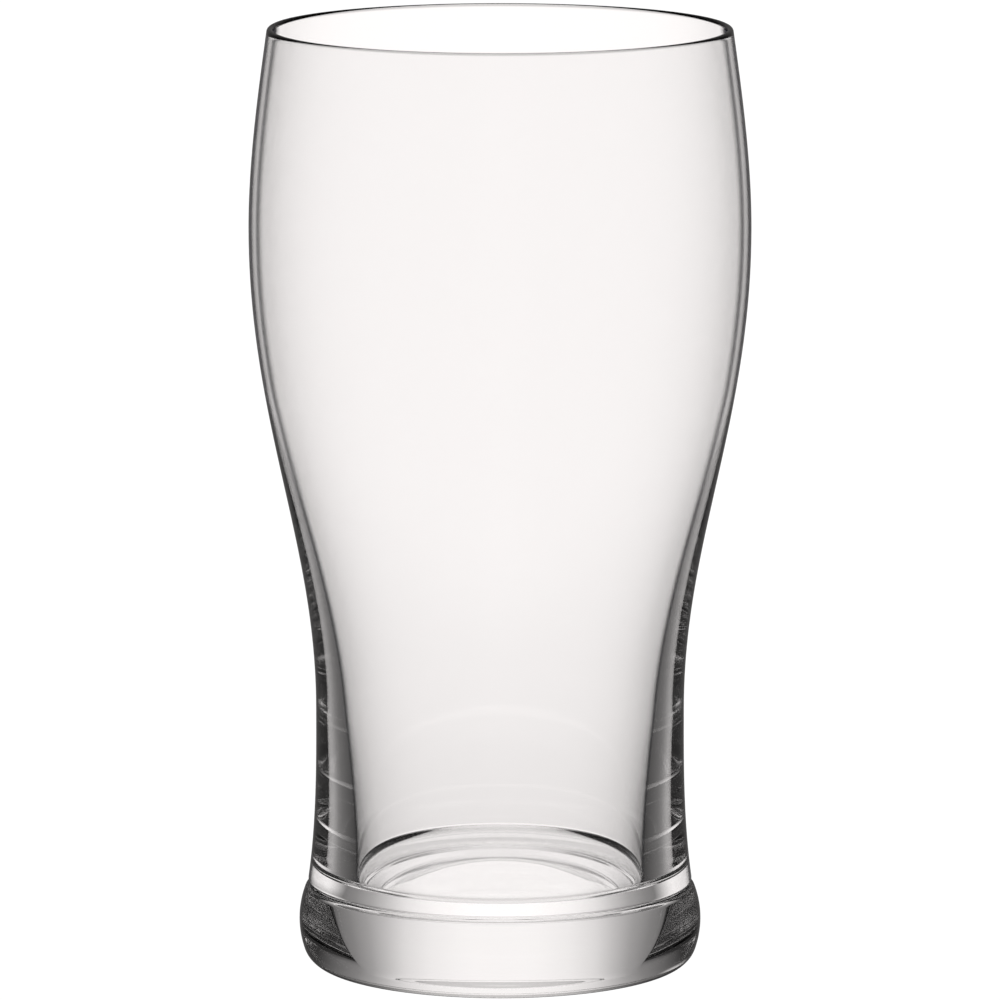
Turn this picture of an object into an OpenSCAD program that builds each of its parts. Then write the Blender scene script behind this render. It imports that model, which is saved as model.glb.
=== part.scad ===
// Tulip pint glass: a thick-walled bowl standing on a solid round foot.
// The glass is round about the Z axis and stands on Z = 0. Sizes are in millimetres.

/* [Bowl outside] */
// Height of the glass, from the table to the top of the rim
glass_h = 164; // [130:1:210]
// Outer radius just under the rim
rim_r = 40.2; // [32:0.1:50]
// How far the wall leans in at the rim, for each millimetre of height
rim_lean = 0.14; // [0:0.01:0.3]
// Outer radius at the widest part of the bowl
belly_r = 43.4; // [36:0.1:56]
// Distance from the rim down to the widest part
belly_drop = 35; // [20:0.5:60]
// Outer radius at the waist
waist_r = 32; // [25:0.1:40]
// Height of the waist above the table
waist_z = 45.5; // [32:0.5:70]
// How far the foot's side stands out past the bowl's, where they meet
crease_step = 0.3; // [0:0.05:1]
// Radius that rounds the bowl's lower edge and the foot's top edge, either side of the crease
crease_round_r = 1; // [0.2:0.05:1.5]
// How far the wall flares out towards the foot, for each millimetre of height
skirt_flare = 0.14; // [0:0.01:0.3]

/* [Bowl inside] */
// Thickness of the wall at the rim
rim_wall = 1.2; // [0.8:0.1:3]
// Thickness of the wall at the inner floor
well_wall = 7.7; // [3:0.1:12]
// Height over which the thick wall of the well thins to the rim's thickness
thinning_h = 86; // [40:1:110]
// Height of the inner floor's edge above the crease
floor_lift = 1.3; // [0.5:0.1:8]
// Radius of the corner between the inner floor and the wall
corner_r = 1.5; // [0.5:0.1:6]
// Rise of the inner floor from its edge to its middle
floor_rise = 0.4; // [0:0.1:1.5]

/* [Foot] */
// Height of the crease where the bowl meets the foot
foot_h = 14.2; // [11.5:0.1:18]
// Radius of the foot at its widest
foot_r = 35; // [29:0.1:46]
// Height of the foot's widest part above the table
foot_wide_z = 8; // [6:0.1:11]
// Radius of the gentle curve down the side of the foot
barrel_arc_r = 15.5; // [13:0.5:60]
// Radius of the heel, between the side of the foot and the table
heel_r = 4.4; // [1:0.1:6]
// Depth of the dish in the foot's top, which the bowl's underside fills
seat_depth = 2.4; // [0.5:0.1:4]
// Width of the flat ring that the glass stands on
ring_w = 3; // [2:0.1:12]
// Depth of the hollow in the underside, inside the ring
punt_h = 3.4; // [0.4:0.1:4]
// Fullness of that hollow: 1 is a plain dome, more keeps it deep out towards the ring
punt_fullness = 4; // [1:0.5:6]

/* [Hidden] */
// Steps along each long curve, and along each small rounding
curve_steps = 20;
round_steps = 8;
$fn = 180;

belly_z = glass_h - belly_drop;
floor_z = foot_h + floor_lift;
thin_z = floor_z + thinning_h;
// Power of the thinning curve: above 1, the wall swells more and more towards the floor
thinning_power = 1.7;
// Share of a span's height that its end tangents reach: at the waist, the belly and the ends
waist_share = 0.35;
belly_share = 0.4;
end_share = 1 / 3;

// The foot's side is a barrel arc that runs into the heel, and the heel runs into the table
barrel_c = [foot_r - barrel_arc_r, foot_wide_z];
function inside_barrel(r, z) =
    [barrel_c[0] + sqrt(pow(barrel_arc_r - r, 2) - pow(z - foot_wide_z, 2)), z];
function barrel_angle(p) = atan2(p[1] - barrel_c[1], p[0] - barrel_c[0]);
heel_c = inside_barrel(heel_r, heel_r);
shoulder_c = inside_barrel(crease_round_r, foot_h - crease_round_r);
punt_r = heel_c[0] - ring_w;

// The bowl's lower edge stands on the foot, a step inside the foot's side
skirt_r = inside_barrel(0, foot_h)[0] - crease_step;
crease_r = skirt_r - crease_round_r;
skirt_c = [crease_r, foot_h + crease_round_r];

// The rim is a half round between the outside and the inside
rim_round_r = rim_wall / 2;
rim_c = [rim_r - rim_round_r, glass_h - rim_round_r];
rim_tilt = atan(rim_lean);

// A point at share t of the curve between p0 and p3, drawn towards p1 and p2
function curve_point(p0, p1, p2, p3, t) =
    pow(1 - t, 3) * p0 + 3 * pow(1 - t, 2) * t * p1 + 3 * (1 - t) * t * t * p2 + pow(t, 3) * p3;

// A curve up the wall from low to high, each [radius, height]. A lean is the change of
// radius for each millimetre of height at that end, and a share is its tangent's reach.
function wall_span(low, high, low_lean, high_lean, low_share, high_share) =
    let (
        rise = high[1] - low[1],
        p1 = low + low_share * rise * [low_lean, 1],
        p2 = high - high_share * rise * [high_lean, 1]
    )
    [for (i = [0 : curve_steps]) curve_point(low, p1, p2, high, i / curve_steps)];

// Points on an arc about a centre, between two angles
function arc(centre, r, from, to, steps) =
    [for (i = [0 : steps]) let (a = from + (to - from) * i / steps) centre + r * [cos(a), sin(a)]];

// The list without its first point, without its last, or turned end for end
function tail(list) = [for (i = [1 : len(list) - 1]) list[i]];
function front(list) = [for (i = [0 : len(list) - 2]) list[i]];
function backwards(list) = [for (i = [len(list) - 1 : -1 : 0]) list[i]];

// A low dome over the middle, h high, that comes down level at radius r and height z.
// Above 1, fullness keeps it high further out.
function dome(r, h, z, fullness = 1) =
    [for (i = [0 : curve_steps])
        let (s = i / curve_steps) [r * s, z + h * pow(cos(90 * pow(s, fullness)), 2)]];

// The bowl's lower edge, its outside up to the rim, and the rim
skirt_round = arc(skirt_c, crease_round_r, -90, atan(skirt_flare), round_steps);
rim_round = arc(rim_c, rim_round_r, rim_tilt, 180 + rim_tilt, round_steps);
outside = concat(
    front(wall_span(skirt_round[round_steps], [waist_r, waist_z], -skirt_flare, 0,
                    end_share, end_share)),
    front(wall_span([waist_r, waist_z], [belly_r, belly_z], 0, 0, waist_share, belly_share)),
    wall_span([belly_r, belly_z], rim_round[0], 0, -rim_lean, end_share, end_share)
);

// Thickness of the wall at height z, and the outside's radius there
function wall_at(z) =
    rim_wall + (well_wall - rim_wall) * pow(max(0, (thin_z - z) / thinning_h), thinning_power);
function outside_r(z) = lookup(z, [for (p = outside) [p[1], p[0]]]);

// The inside wall, from the top of the floor's corner to the rim
corner_z = floor_z + corner_r;
well_r = outside_r(corner_z) - wall_at(corner_z);
inside = concat(
    [[well_r, corner_z]],
    [for (p = front(outside)) if (p[1] > corner_z + corner_r) [p[0] - wall_at(p[1]), p[1]]]
);
floor_r = well_r - corner_r;
floor_corner = arc([floor_r, corner_z], corner_r, -90, 0, round_steps);
floor_dome = dome(floor_r, floor_rise, floor_z);

// The joint between bowl and foot, a shallow dish out to the crease
seat = dome(crease_r, -seat_depth, foot_h);

// The foot's side, from the table to the crease
heel_a = barrel_angle(heel_c);
shoulder_a = barrel_angle(shoulder_c);
foot_side = concat(
    front(arc(heel_c, heel_r, -90, heel_a, round_steps)),
    front(arc(barrel_c, barrel_arc_r, heel_a, shoulder_a, curve_steps)),
    arc(shoulder_c, crease_round_r, shoulder_a, 90, round_steps)
);
punt = dome(punt_r, punt_h, 0, punt_fullness);

// The bowl: outer wall, fire-polished rim, inner wall, domed floor and rounded underside
module bowl() {
    color([0.86, 0.89, 0.90, 0.4])
    rotate_extrude()
    polygon(concat(seat, tail(skirt_round), tail(outside), tail(rim_round), backwards(inside),
                   tail(backwards(floor_corner)), tail(backwards(floor_dome))));
}

// The foot: a solid disc with a dished top, a barrel side and a shallow hollow underneath
module foot() {
    color([0.80, 0.84, 0.85, 0.4])
    rotate_extrude()
    polygon(concat(punt, foot_side, backwards(seat)));
}

bowl();
foot();
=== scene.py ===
# %% [markdown]
# # A tulip pint glass
# A pint glass is one of the plainest objects there is, and one of the hardest to light. It has a
# blown bowl with a full belly and a narrow waist, and a thick pressed foot. Nothing is painted on
# it: all that the eye sees is light that has been bent. So the shape has to be exact, inside as
# well as outside, and the light round it matters as much as the glass.

# %% Load the frame
import math
import bmesh
import bpy
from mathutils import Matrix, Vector


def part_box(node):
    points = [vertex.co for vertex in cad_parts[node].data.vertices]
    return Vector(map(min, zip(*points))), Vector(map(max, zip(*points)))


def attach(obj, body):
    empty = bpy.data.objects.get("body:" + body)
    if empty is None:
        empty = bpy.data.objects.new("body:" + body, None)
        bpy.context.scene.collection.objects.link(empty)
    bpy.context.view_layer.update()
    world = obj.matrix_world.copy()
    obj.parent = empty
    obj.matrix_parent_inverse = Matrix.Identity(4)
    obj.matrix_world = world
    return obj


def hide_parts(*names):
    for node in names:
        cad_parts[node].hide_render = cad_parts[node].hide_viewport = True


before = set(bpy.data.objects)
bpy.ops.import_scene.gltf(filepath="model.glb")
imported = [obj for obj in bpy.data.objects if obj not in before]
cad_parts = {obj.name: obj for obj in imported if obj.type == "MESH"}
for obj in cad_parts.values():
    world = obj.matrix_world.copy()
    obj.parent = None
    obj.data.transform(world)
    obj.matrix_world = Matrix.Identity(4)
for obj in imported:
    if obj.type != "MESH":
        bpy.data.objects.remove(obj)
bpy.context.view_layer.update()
scene = bpy.context.scene

# %% [markdown]
# ## The camera
# The glass is looked at from a little above the table, through a long lens from 1.6 m away, so
# that its sides stay nearly upright and the rim shows as a narrow ellipse. A round glass looks
# the same from every side. The camera therefore stands where its own backdrop is furthest from
# the lights that serve the other sides.

# %% Place the camera
CAMERA_AZIMUTH = 292.5
CAMERA_ELEVATION = 9.104
CAMERA_DISTANCE = 1.64
LENS, SENSOR_WIDTH = 340.5, 36
CLIP_NEAR, CLIP_FAR = 0.01, 50
LOOK_AT = Vector((0, 0, 0.0817))


def away(azimuth, elevation):
    """Direction from the glass to a camera at this azimuth and elevation."""
    a, e = math.radians(azimuth), math.radians(elevation)
    return Vector((math.sin(a) * math.cos(e), -math.cos(a) * math.cos(e), math.sin(e)))


camera = bpy.data.cameras.new("camera")
camera_object = bpy.data.objects.new("camera", camera)
scene.collection.objects.link(camera_object)
camera.lens, camera.sensor_width = LENS, SENSOR_WIDTH
camera.clip_start, camera.clip_end = CLIP_NEAR, CLIP_FAR
to_camera = away(CAMERA_AZIMUTH, CAMERA_ELEVATION)
camera_object.location = LOOK_AT + to_camera * CAMERA_DISTANCE
camera_object.rotation_mode = "QUATERNION"
camera_object.rotation_quaternion = (-to_camera).to_track_quat("-Z", "Y")
scene.camera = camera_object
print("camera at", [round(v, 3) for v in camera_object.location])

# %% [markdown]
# ## The sizes of the glass
# Glass bends light by the slope of its surface, so a slope that is a degree out moves a dark line.
# The frame's own meshes are made of flat facets, which would show as rings. The glass is drawn
# again here from the same sizes, in millimetres, with two to three times the steps. Only the rim
# keeps the frame's eight steps, so that both are exactly as high.

# %% Sizes in millimetres
MM = 0.001
CURVE_STEPS = 48
ROUND_STEPS = 24
RIM_STEPS = 8

glass_h, rim_r, rim_lean = 164, 40.2, 0.14
belly_r, belly_drop = 43.4, 35
waist_r, waist_z = 32, 45.5
crease_step, crease_round_r, skirt_flare = 0.3, 1, 0.14
rim_wall, well_wall, thinning_h, thinning_power = 1.2, 7.7, 86, 1.7
floor_lift, corner_r, floor_rise = 1.3, 1.5, 0.4
foot_h, foot_r, foot_wide_z, barrel_arc_r, heel_r = 14.2, 35, 8, 15.5, 4.4
seat_depth, ring_w, punt_h, punt_fullness = 2.4, 3, 3.4, 4
waist_share, belly_share, end_share = 0.35, 0.4, 1 / 3
print(f"glass {glass_h} mm high, belly {2 * belly_r} mm, foot {2 * foot_r} mm")

# %% [markdown]
# ## Three kinds of line
# A glassmaker's mould is turned on a lathe, so one side view says everything about it. Three kinds
# of line are enough for this one: an arc for each rounded edge, a long smooth curve for each
# stretch of wall, and a low dome for the floor, the join and the hollow underneath. Each is a
# list of points, a radius and a height.

# %% Arcs, wall curves and domes


def arc(centre, r, start, end, steps=ROUND_STEPS):
    angles = [math.radians(start + (end - start) * i / steps) for i in range(steps + 1)]
    return [(centre[0] + r * math.cos(a), centre[1] + r * math.sin(a)) for a in angles]


def wall_span(low, high, low_lean, high_lean, low_share, high_share):
    """A curve up the wall. A lean is the change of radius per millimetre of height there."""
    rise = high[1] - low[1]
    near = (low[0] + low_share * rise * low_lean, low[1] + low_share * rise)
    far = (high[0] - high_share * rise * high_lean, high[1] - high_share * rise)
    points = []
    for i in range(CURVE_STEPS + 1):
        t = i / CURVE_STEPS
        weights = ((1 - t) ** 3, 3 * (1 - t) ** 2 * t, 3 * (1 - t) * t * t, t ** 3)
        pulls = list(zip(weights, (low, near, far, high)))
        points.append(tuple(sum(w * p[axis] for w, p in pulls) for axis in (0, 1)))
    return points


def dome(r, h, z, fullness=1):
    shares = [i / CURVE_STEPS for i in range(CURVE_STEPS + 1)]
    return [(r * s, z + h * math.cos(math.pi / 2 * s ** fullness) ** 2) for s in shares]


print("a dome over 10 mm starts at", dome(10, 1, 0)[0], "and ends at", dome(10, 1, 0)[-1])

# %% [markdown]
# ## Side view of the foot
# The foot is a thick disc with a barrel side. It runs into a round heel, and the heel into the
# narrow flat ring that the glass stands on. Inside the ring the underside is hollow, so that the
# glass can't rock on a raised middle. The top edge is softly rounded, which makes the fine crease
# under the bowl.

# %% Draw the foot's side view
barrel_c = (foot_r - barrel_arc_r, foot_wide_z)


def inside_barrel(r, z):
    """The centre, at height z, of a circle of radius r that touches the barrel from inside."""
    reach = math.sqrt((barrel_arc_r - r) ** 2 - (z - foot_wide_z) ** 2)
    return barrel_c[0] + reach, z


def barrel_angle(point):
    return math.degrees(math.atan2(point[1] - barrel_c[1], point[0] - barrel_c[0]))


heel_c = inside_barrel(heel_r, heel_r)
shoulder_c = inside_barrel(crease_round_r, foot_h - crease_round_r)
heel_end, shoulder_start = barrel_angle(heel_c), barrel_angle(shoulder_c)
foot_side = (
    arc(heel_c, heel_r, -90, heel_end)[:-1]
    + arc(barrel_c, barrel_arc_r, heel_end, shoulder_start, CURVE_STEPS)[:-1]
    + arc(shoulder_c, crease_round_r, shoulder_start, 90)
)
punt = dome(heel_c[0] - ring_w, punt_h, 0, punt_fullness)
print(f"the glass stands on a ring {2 * punt[-1][0]:.1f} to {2 * heel_c[0]:.1f} mm across")

# %% [markdown]
# ## Side view of the bowl
# The outside goes from the crease in to the waist, out to the belly and in again to the rim, which
# fire has melted to a half round. The wall is 1.2 mm thin at the rim and swells more and more
# towards the floor, because the glass ran down before it was blown. That thick wall makes the
# dark uprights on both sides of the well.

# %% Draw the bowl's side view
skirt_r = inside_barrel(0, foot_h)[0] - crease_step
crease_r = skirt_r - crease_round_r
flare_angle = math.degrees(math.atan(skirt_flare))
skirt_round = arc((crease_r, foot_h + crease_round_r), crease_round_r, -90, flare_angle)

rim_round_r = rim_wall / 2
rim_c = (rim_r - rim_round_r, glass_h - rim_round_r)
rim_tilt = math.degrees(math.atan(rim_lean))
rim_round = arc(rim_c, rim_round_r, rim_tilt, 180 + rim_tilt, RIM_STEPS)

waist, belly = (waist_r, waist_z), (belly_r, glass_h - belly_drop)
outside = (
    wall_span(skirt_round[-1], waist, -skirt_flare, 0, end_share, end_share)[:-1]
    + wall_span(waist, belly, 0, 0, waist_share, belly_share)[:-1]
    + wall_span(belly, rim_round[0], 0, -rim_lean, end_share, end_share)
)
floor_z = foot_h + floor_lift
corner_z = floor_z + corner_r
thin_z = floor_z + thinning_h


def wall_at(z):
    share = max(0, (thin_z - z) / thinning_h)
    return rim_wall + (well_wall - rim_wall) * share ** thinning_power


def outside_r(z):
    for (r0, z0), (r1, z1) in zip(outside, outside[1:]):
        if z0 <= z <= z1:
            return r0 + (r1 - r0) * (z - z0) / (z1 - z0)
    raise ValueError("no wall at this height")


well_r = outside_r(corner_z) - wall_at(corner_z)
upper = [(r - wall_at(z), z) for r, z in outside[:-1] if z > corner_z + corner_r]
inside = [(well_r, corner_z)] + upper
floor_corner = arc((well_r - corner_r, corner_z), corner_r, -90, 0)
floor_dome = dome(well_r - corner_r, floor_rise, floor_z)
seat = dome(crease_r, -seat_depth, foot_h)
print(f"wall {wall_at(glass_h):.1f} mm at the rim, {wall_at(corner_z):.1f} mm at the floor")

# %% [markdown]
# ## Turning the side views
# A modifier could spin each side view, but the join between bowl and foot needs a finish of its
# own, so the rings are joined face by face. The line runs from the axis, round the outside and
# back to the axis, which closes the glass into a solid. Light has to meet a surface each time it
# enters or leaves the glass, and nowhere else.

# %% Turn a side view into a solid
TURNS = 192
GLASS_SLOT, JOIN_SLOT = 0, 1


def ring_of_points(mesh, r, z):
    """The points at one height, or one point where the line meets the axis."""
    if r < 1e-9:
        return [mesh.verts.new((0, 0, z * MM))]
    turns = [2 * math.pi * k / TURNS for k in range(TURNS)]
    return [mesh.verts.new((r * MM * math.cos(a), r * MM * math.sin(a), z * MM)) for a in turns]


def strip_corners(low, high, k):
    j = (k + 1) % TURNS
    if len(low) == 1:
        return low[0], high[j], high[k]
    if len(high) == 1:
        return low[k], low[j], high[0]
    return low[k], low[j], high[j], high[k]


def lathe(name, side_view, join_strips):
    """A solid of revolution. Strips whose number is in join_strips take the join's finish."""
    mesh = bmesh.new()
    rings = [ring_of_points(mesh, r, z) for r, z in side_view]
    for i, (low, high) in enumerate(zip(rings, rings[1:])):
        for k in range(TURNS):
            face = mesh.faces.new(strip_corners(low, high, k))
            face.smooth = True
            face.material_index = JOIN_SLOT if i in join_strips else GLASS_SLOT
    bmesh.ops.recalc_face_normals(mesh, faces=mesh.faces)
    data = bpy.data.meshes.new(name)
    mesh.to_mesh(data)
    mesh.free()
    solid = bpy.data.objects.new(name, data)
    scene.collection.objects.link(solid)
    print(f"{name}: {len(data.polygons)} faces, {len(rings)} rings")
    return solid


# %% [markdown]
# ## The two pieces
# The bowl and the foot are fused, so no light is bent where they meet. Each piece stays a closed
# solid of its own, and the two faces that touch get a clear finish that light passes straight
# through. The eye then sees one thickness of glass from the table to the inner floor.

# %% Make the bowl and the foot
bowl_view = (
    seat + skirt_round[1:] + outside[1:] + rim_round[1:] + inside[::-1]
    + floor_corner[::-1][1:] + floor_dome[::-1][1:]
)
foot_view = punt + foot_side + seat[::-1][1:]
bowl = lathe("bowl_glass", bowl_view, range(CURVE_STEPS))
foot_strips = len(foot_view) - 1
foot = lathe("foot_glass", foot_view, range(foot_strips - CURVE_STEPS, foot_strips))
for piece, node in ((bowl, "bowl"), (foot, "foot")):
    low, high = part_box(node)
    top = max(v.co.z for v in piece.data.vertices)
    width = 2 * max(v.co.x for v in piece.data.vertices)
    print(f"{node}: top {top * 1000:.2f} mm, the frame has {high[2] * 1000:.2f};",
          f"width {width * 1000:.2f} mm, the frame has {(high[0] - low[0]) * 1000:.2f}")

# %% [markdown]
# ## The skin of hot-formed glass
# Glass that was shaped hot is never quite even. Long faint ripples run up it where it was turned
# in the mould, crossed by broader waves where it cooled, and washing leaves a barely visible haze.
# A bowl and a foot have the same kind of skin in different amounts, so it is one shader group with
# inputs for its size and strength. It puts out a height for the ripple and a roughness for the
# haze.

# %% Helpers for shader nodes


def add(tree, kind, **settings):
    node = tree.nodes.new(kind)
    for key, value in settings.items():
        setattr(node, key, value)
    return node


def math_node(tree, operation, *values):
    node = add(tree, "ShaderNodeMath", operation=operation)
    for socket, value in zip(node.inputs, values):
        if isinstance(value, (int, float)):
            socket.default_value = value
        else:
            tree.links.new(value, socket)
    return node.outputs[0]


def smooth_step(tree, value, start, end, low, high):
    """low before start, high after end, and an even change between them."""
    node = add(tree, "ShaderNodeMapRange", interpolation_type="SMOOTHSTEP")
    tree.links.new(value, node.inputs["Value"])
    for name, number in (("From Min", start), ("From Max", end), ("To Min", low), ("To Max", high)):
        node.inputs[name].default_value = number
    return node.outputs["Result"]


print("helpers for shader nodes are ready")

# %% Build the shared skin group
RIPPLE_STRETCH = 0.12
RIPPLE_DETAIL, WAVE_DETAIL = 1.0, 0.0
FILM_SCALE, FILM_DETAIL = 45.0, 3.0
FILM_START, FILM_FULL = 0.45, 0.7


def skin_group():
    group = bpy.data.node_groups.new("hot_formed_skin", "ShaderNodeTree")
    for name, value in (("Ripple Size", 30.0), ("Wave Size", 12.0), ("Haze", 0.02)):
        socket = group.interface.new_socket(name, in_out="INPUT", socket_type="NodeSocketFloat")
        socket.default_value = value
    for name in ("Height", "Roughness"):
        group.interface.new_socket(name, in_out="OUTPUT", socket_type="NodeSocketFloat")
    inputs, outputs = add(group, "NodeGroupInput"), add(group, "NodeGroupOutput")
    place = add(group, "ShaderNodeTexCoord").outputs["Object"]

    upright = add(group, "ShaderNodeMapping")
    upright.inputs["Scale"].default_value = (1, 1, RIPPLE_STRETCH)
    group.links.new(place, upright.inputs["Vector"])
    ripple = add(group, "ShaderNodeTexNoise")
    ripple.inputs["Detail"].default_value = RIPPLE_DETAIL
    group.links.new(upright.outputs[0], ripple.inputs["Vector"])
    group.links.new(inputs.outputs["Ripple Size"], ripple.inputs["Scale"])
    wave = add(group, "ShaderNodeTexNoise")
    wave.inputs["Detail"].default_value = WAVE_DETAIL
    group.links.new(place, wave.inputs["Vector"])
    group.links.new(inputs.outputs["Wave Size"], wave.inputs["Scale"])
    height = math_node(group, "ADD", ripple.outputs[0], wave.outputs[0])
    group.links.new(height, outputs.inputs["Height"])

    film = add(group, "ShaderNodeTexNoise")
    film.inputs["Scale"].default_value = FILM_SCALE
    film.inputs["Detail"].default_value = FILM_DETAIL
    group.links.new(place, film.inputs["Vector"])
    patches = smooth_step(group, film.outputs[0], FILM_START, FILM_FULL, 0.0, 1.0)
    haze = math_node(group, "MULTIPLY", patches, inputs.outputs["Haze"])
    group.links.new(haze, outputs.inputs["Roughness"])
    return group


hot_formed_skin = skin_group()
print("group", hot_formed_skin.name, "with", len(hot_formed_skin.nodes), "nodes")

# %% [markdown]
# ## Clear glass
# Plain soda-lime glass bends light by 1.52 and takes out almost nothing. Seen edge on, the edge
# of a clean glass looks nearly black, and here that dark edge is painted shade: the base colour
# turns near black the more slantwise the surface is seen. The foot also has a worn ring, dulled
# by the shelves and tables it has stood on.

# %% Make the two glasses
CLEAR = (0.985, 0.985, 0.985, 1)
# A near-black base colour painted on as shade where the glass is seen edge on, and the slants where
# that shade starts and is full.
EDGE_SHADE_COLOUR = (0.004, 0.004, 0.005, 1)
EDGE_SHADE_START, EDGE_SHADE_FULL = 0.74, 0.86
SODA_LIME_IOR = 1.52
RIPPLE_DEPTH = 0.00001


def clear_glass(name, ripple_size, wave_size, haze):
    """A clear glass with painted shade on its edges, and the skin node that roughens it."""
    material = bpy.data.materials.new(name)
    material.use_nodes = True
    tree = material.node_tree
    shader = tree.nodes["Principled BSDF"]
    shader.inputs["IOR"].default_value = SODA_LIME_IOR
    shader.inputs["Transmission Weight"].default_value = 1.0

    # Painted shade: the base colour is mixed towards near black as the surface turns edge on to the
    # eye.
    slant = add(tree, "ShaderNodeLayerWeight")
    slant.inputs["Blend"].default_value = 0.5
    edge_shade_share = smooth_step(tree, slant.outputs["Facing"], EDGE_SHADE_START, EDGE_SHADE_FULL, 0.0, 1.0)
    painted_edge_shade = add(tree, "ShaderNodeMix", data_type="RGBA")
    painted_edge_shade.inputs["A"].default_value = CLEAR
    painted_edge_shade.inputs["B"].default_value = EDGE_SHADE_COLOUR
    tree.links.new(edge_shade_share, painted_edge_shade.inputs["Factor"])
    tree.links.new(painted_edge_shade.outputs["Result"], shader.inputs["Base Color"])

    skin = add(tree, "ShaderNodeGroup", node_tree=hot_formed_skin)
    skin.inputs["Ripple Size"].default_value = ripple_size
    skin.inputs["Wave Size"].default_value = wave_size
    skin.inputs["Haze"].default_value = haze
    bump = add(tree, "ShaderNodeBump")
    bump.inputs["Strength"].default_value = 1.0
    bump.inputs["Distance"].default_value = RIPPLE_DEPTH
    tree.links.new(skin.outputs["Height"], bump.inputs["Height"])
    tree.links.new(bump.outputs["Normal"], shader.inputs["Normal"])
    tree.links.new(skin.outputs["Roughness"], shader.inputs["Roughness"])
    return material, skin


WORN_HEIGHT = 0.00006
SCUFF_SCALE, SCUFF_ROUGHNESS = 900.0, 0.35


def wear_ring(material, skin):
    """Dull the ring that touches the table, and leave the rest of the foot clear."""
    tree = material.node_tree
    shader = tree.nodes["Principled BSDF"]
    place = add(tree, "ShaderNodeTexCoord").outputs["Object"]
    height = add(tree, "ShaderNodeSeparateXYZ")
    tree.links.new(place, height.inputs[0])
    touching = smooth_step(tree, height.outputs["Z"], 0.0, WORN_HEIGHT, 1.0, 0.0)
    scuffs = add(tree, "ShaderNodeTexNoise")
    scuffs.inputs["Scale"].default_value = SCUFF_SCALE
    tree.links.new(place, scuffs.inputs["Vector"])
    dull = math_node(tree, "MULTIPLY", touching, scuffs.outputs[0])
    worn = math_node(tree, "MULTIPLY", dull, SCUFF_ROUGHNESS)
    rough = math_node(tree, "MAXIMUM", worn, skin.outputs["Roughness"])
    tree.links.new(rough, shader.inputs["Roughness"])


blown_glass, _ = clear_glass("blown_glass", ripple_size=60.0, wave_size=14.0, haze=0.012)
pressed_glass, pressed_skin = clear_glass(
    "pressed_glass", ripple_size=90.0, wave_size=25.0, haze=0.02
)
wear_ring(pressed_glass, pressed_skin)
print("glasses:", blown_glass.name, pressed_glass.name)

# %% [markdown]
# ## The fused join
# The finish for the two touching faces has no opacity at all. It bends nothing and shines
# nowhere, so the eye can't find it. The crease outside stays, because that is real shape.

# %% Make the join's finish and dress both pieces
fused_join = bpy.data.materials.new("fused_join")
fused_join.use_nodes = True
fused_join.node_tree.nodes["Principled BSDF"].inputs["Alpha"].default_value = 0.0

for piece, node, glass in ((bowl, "bowl", blown_glass), (foot, "foot", pressed_glass)):
    piece.data.materials.append(glass)
    piece.data.materials.append(fused_join)
    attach(piece, "root")
    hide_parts(node)
    print(piece.name, "stands for", node)

# %% [markdown]
# ## A floor that glows softly
# Clear glass is shown best against plain white. The glass stands on a wide pale table lit
# evenly from below, as on a light table, so it has no shadow and no line where table and
# backdrop meet.

# %% Lay the floor
FLOOR_RADIUS = 6.0
FLOOR_SIDES = 96
FLOOR_GAP = 0.0002
FLOOR_GLOW = 1.05

disc = bmesh.new()
bmesh.ops.create_circle(disc, cap_ends=True, segments=FLOOR_SIDES, radius=FLOOR_RADIUS)
floor_data = bpy.data.meshes.new("floor")
disc.to_mesh(floor_data)
disc.free()
floor = bpy.data.objects.new("floor", floor_data)
scene.collection.objects.link(floor)
floor.location.z = -FLOOR_GAP

pale_table = bpy.data.materials.new("pale_table")
pale_table.use_nodes = True
table_tree = pale_table.node_tree
table_tree.nodes.clear()
glow = add(table_tree, "ShaderNodeEmission")
glow.inputs["Strength"].default_value = FLOOR_GLOW
surface = add(table_tree, "ShaderNodeOutputMaterial")
table_tree.links.new(glow.outputs[0], surface.inputs[0])
floor_data.materials.append(pale_table)
floor.visible_transmission = False
floor.visible_glossy = False
print("floor laid,", 2 * FLOOR_RADIUS, "m across")

# %% [markdown]
# ## The light round the glass
# Glass is lit from behind: a bright panel behind it fills the middle, and the dark room beside
# the panel draws the edges. The panel is brightest in line with the glass and fades to the
# sides, and a little towards the table. It is painted on the world, by direction, because a
# direction is all that bent light asks for.

# %% Directions to measure the light by
BACK_AZIMUTH = (-CAMERA_AZIMUTH) % 360
PANEL = [  # degrees away from the middle of the panel, and brightness
    (0, 1.15), (5, 1.15), (8, 1.13), (14, 1.05), (20, 0.88), (25, 0.63), (30, 0.42), (36, 0.28),
    (43, 0.20), (52, 0.12), (60, 0.05), (75, 0.02), (100, 0.02), (180, 0.04),
]
DEGREES = 180 / math.pi

world = bpy.data.worlds.new("studio")
scene.world = world
world.use_nodes = True
sky = world.node_tree
sky.nodes.clear()
direction = add(sky, "ShaderNodeTexCoord").outputs["Generated"]
split = add(sky, "ShaderNodeSeparateXYZ")
sky.links.new(direction, split.inputs[0])
elevation = math_node(sky, "MULTIPLY", math_node(sky, "ARCSINE", split.outputs["Z"]), DEGREES)


def along(x, y):
    """How far the direction goes along a level line."""
    node = add(sky, "ShaderNodeVectorMath", operation="DOT_PRODUCT")
    sky.links.new(direction, node.inputs[0])
    node.inputs[1].default_value = (x, y, 0)
    return node.outputs["Value"]


def degrees_off(azimuth):
    """How many degrees the direction is to either side of an azimuth, clockwise from +Y."""
    x, y = math.sin(math.radians(azimuth)), math.cos(math.radians(azimuth))
    turn = math_node(sky, "ARCTAN2", along(y, -x), along(x, y))
    return math_node(sky, "MULTIPLY", math_node(sky, "ABSOLUTE", turn), DEGREES)


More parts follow.
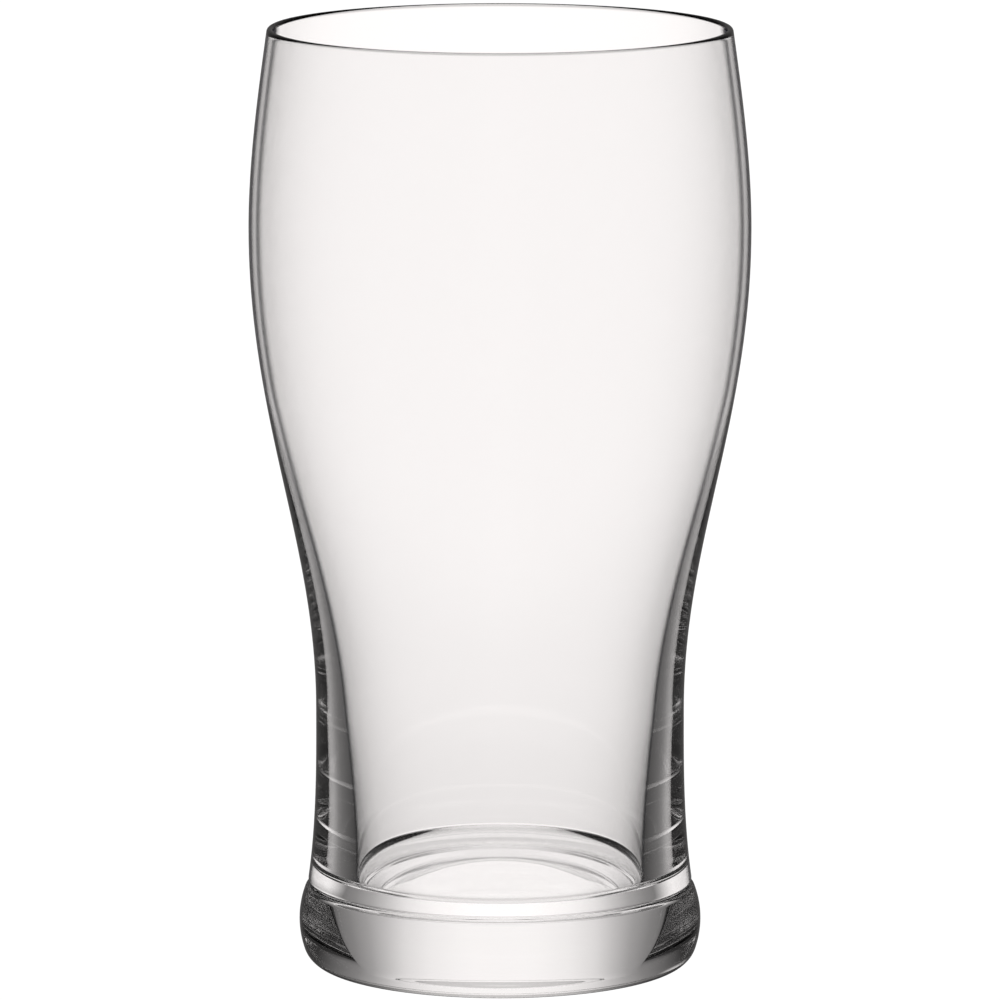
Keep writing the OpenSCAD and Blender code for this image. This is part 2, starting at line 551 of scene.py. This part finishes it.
print("the panel is at azimuth", BACK_AZIMUTH)

# %% Paint the panel behind the glass
CURVE_TOP = 1.5
HALF_TURN = 180
LOW_FADE = (-30, -11, 0.6, 1.0)
HIGH_FADE = (-2, 6, 1.0, 0.9)

panel_curve = add(sky, "ShaderNodeFloatCurve")
line = panel_curve.mapping.curves[0]
line.points[0].location = (0, PANEL[0][1] / CURVE_TOP)
line.points[1].location = (1, PANEL[-1][1] / CURVE_TOP)
for off, brightness in PANEL[1:-1]:
    line.points.new(off / HALF_TURN, brightness / CURVE_TOP)
for point in line.points:
    point.handle_type = "VECTOR"
panel_curve.mapping.update()
share_round = math_node(sky, "DIVIDE", degrees_off(BACK_AZIMUTH), HALF_TURN)
sky.links.new(share_round, panel_curve.inputs["Value"])
panel = math_node(sky, "MULTIPLY", panel_curve.outputs[0], CURVE_TOP)
for fade in (LOW_FADE, HIGH_FADE):
    panel = math_node(sky, "MULTIPLY", panel, smooth_step(sky, elevation, *fade))
print("panel painted with", len(line.points), "points")

# %% [markdown]
# ## Panels for the other sides
# Anyone who walks round the glass would look through it into the dark room. Four softer panels
# stand behind it for those sides. Only light that comes straight through the glass sees them:
# they are left out of everything that mirrors, so they make no stray stripes. Soft glows from
# high above and far below serve the light that is turned up or down inside the foot.

# %% Paint the side panels and the two glows
SIDE_PANELS = [  # azimuth, lowest and highest elevation, brightness
    (0.0, -16, 1, 1.1), (-90.0, -16, 1, 1.1), (135.0, -40, -11, 1.1), (-45.0, -62, -20, 1.1),
]
PANEL_CORE, PANEL_EDGE, PANEL_BLUR = 14, 32, 9
TOP_START, TOP_FULL, TOP_GLOW = 48, 75, 1.0
BELOW_START, BELOW_FULL, BELOW_GLOW = -38, -50, 0.9

path = add(sky, "ShaderNodeLightPath")
straight = math_node(sky, "LESS_THAN", path.outputs["Glossy Depth"], 0.5)
sides = 0.0
for azimuth, low, high, brightness in SIDE_PANELS:
    across = smooth_step(sky, degrees_off(azimuth), PANEL_CORE, PANEL_EDGE, brightness, 0)
    rise = smooth_step(sky, elevation, low - PANEL_BLUR, low, 0, 1)
    fall = smooth_step(sky, elevation, high, high + PANEL_BLUR, 1, 0)
    tall = math_node(sky, "MULTIPLY", rise, fall)
    sides = math_node(sky, "MAXIMUM", math_node(sky, "MULTIPLY", across, tall), sides)
sides = math_node(sky, "MULTIPLY", sides, straight)
top = smooth_step(sky, elevation, TOP_START, TOP_FULL, 0, TOP_GLOW)
below = smooth_step(sky, elevation, BELOW_FULL, BELOW_START, BELOW_GLOW, 0)
light = math_node(sky, "MAXIMUM", panel, sides)
light = math_node(sky, "MAXIMUM", light, math_node(sky, "MAXIMUM", top, below))
print("side panels:", len(SIDE_PANELS))

# %% [markdown]
# ## What mirrors and what shows behind
# The outside of a glass mirrors the room as well, and a pale room would lay a veil over it. Light
# that is only mirrored, and never enters the glass, is dimmed. Beside the glass the eye sees the
# plain white backdrop.

# %% Join the light and set how it travels
MIRROR_SHARE = 0.12
BACKDROP = 1.1
WARM_WHITE = (1, 0.968, 0.96, 1)

entered = math_node(sky, "GREATER_THAN", path.outputs["Transmission Depth"], 0.5)
share = smooth_step(sky, entered, 0, 1, MIRROR_SHARE, 1)
light = math_node(sky, "MULTIPLY", light, share)
seen = add(sky, "ShaderNodeMix", data_type="FLOAT")
sky.links.new(path.outputs["Is Camera Ray"], seen.inputs["Factor"])
sky.links.new(light, seen.inputs["A"])
seen.inputs["B"].default_value = BACKDROP
background = add(sky, "ShaderNodeBackground")
background.inputs["Color"].default_value = WARM_WHITE
sky.links.new(seen.outputs["Result"], background.inputs["Strength"])
sky.links.new(background.outputs[0], add(sky, "ShaderNodeOutputWorld").inputs[0])

scene.view_settings.view_transform = "Standard"
BOUNCES, MOST_BOUNCES = 32, 40
cycles = scene.cycles
cycles.max_bounces = MOST_BOUNCES
cycles.glossy_bounces = BOUNCES
cycles.transmission_bounces = BOUNCES
cycles.transparent_max_bounces = BOUNCES
print("light goes on for", BOUNCES, "bounces")
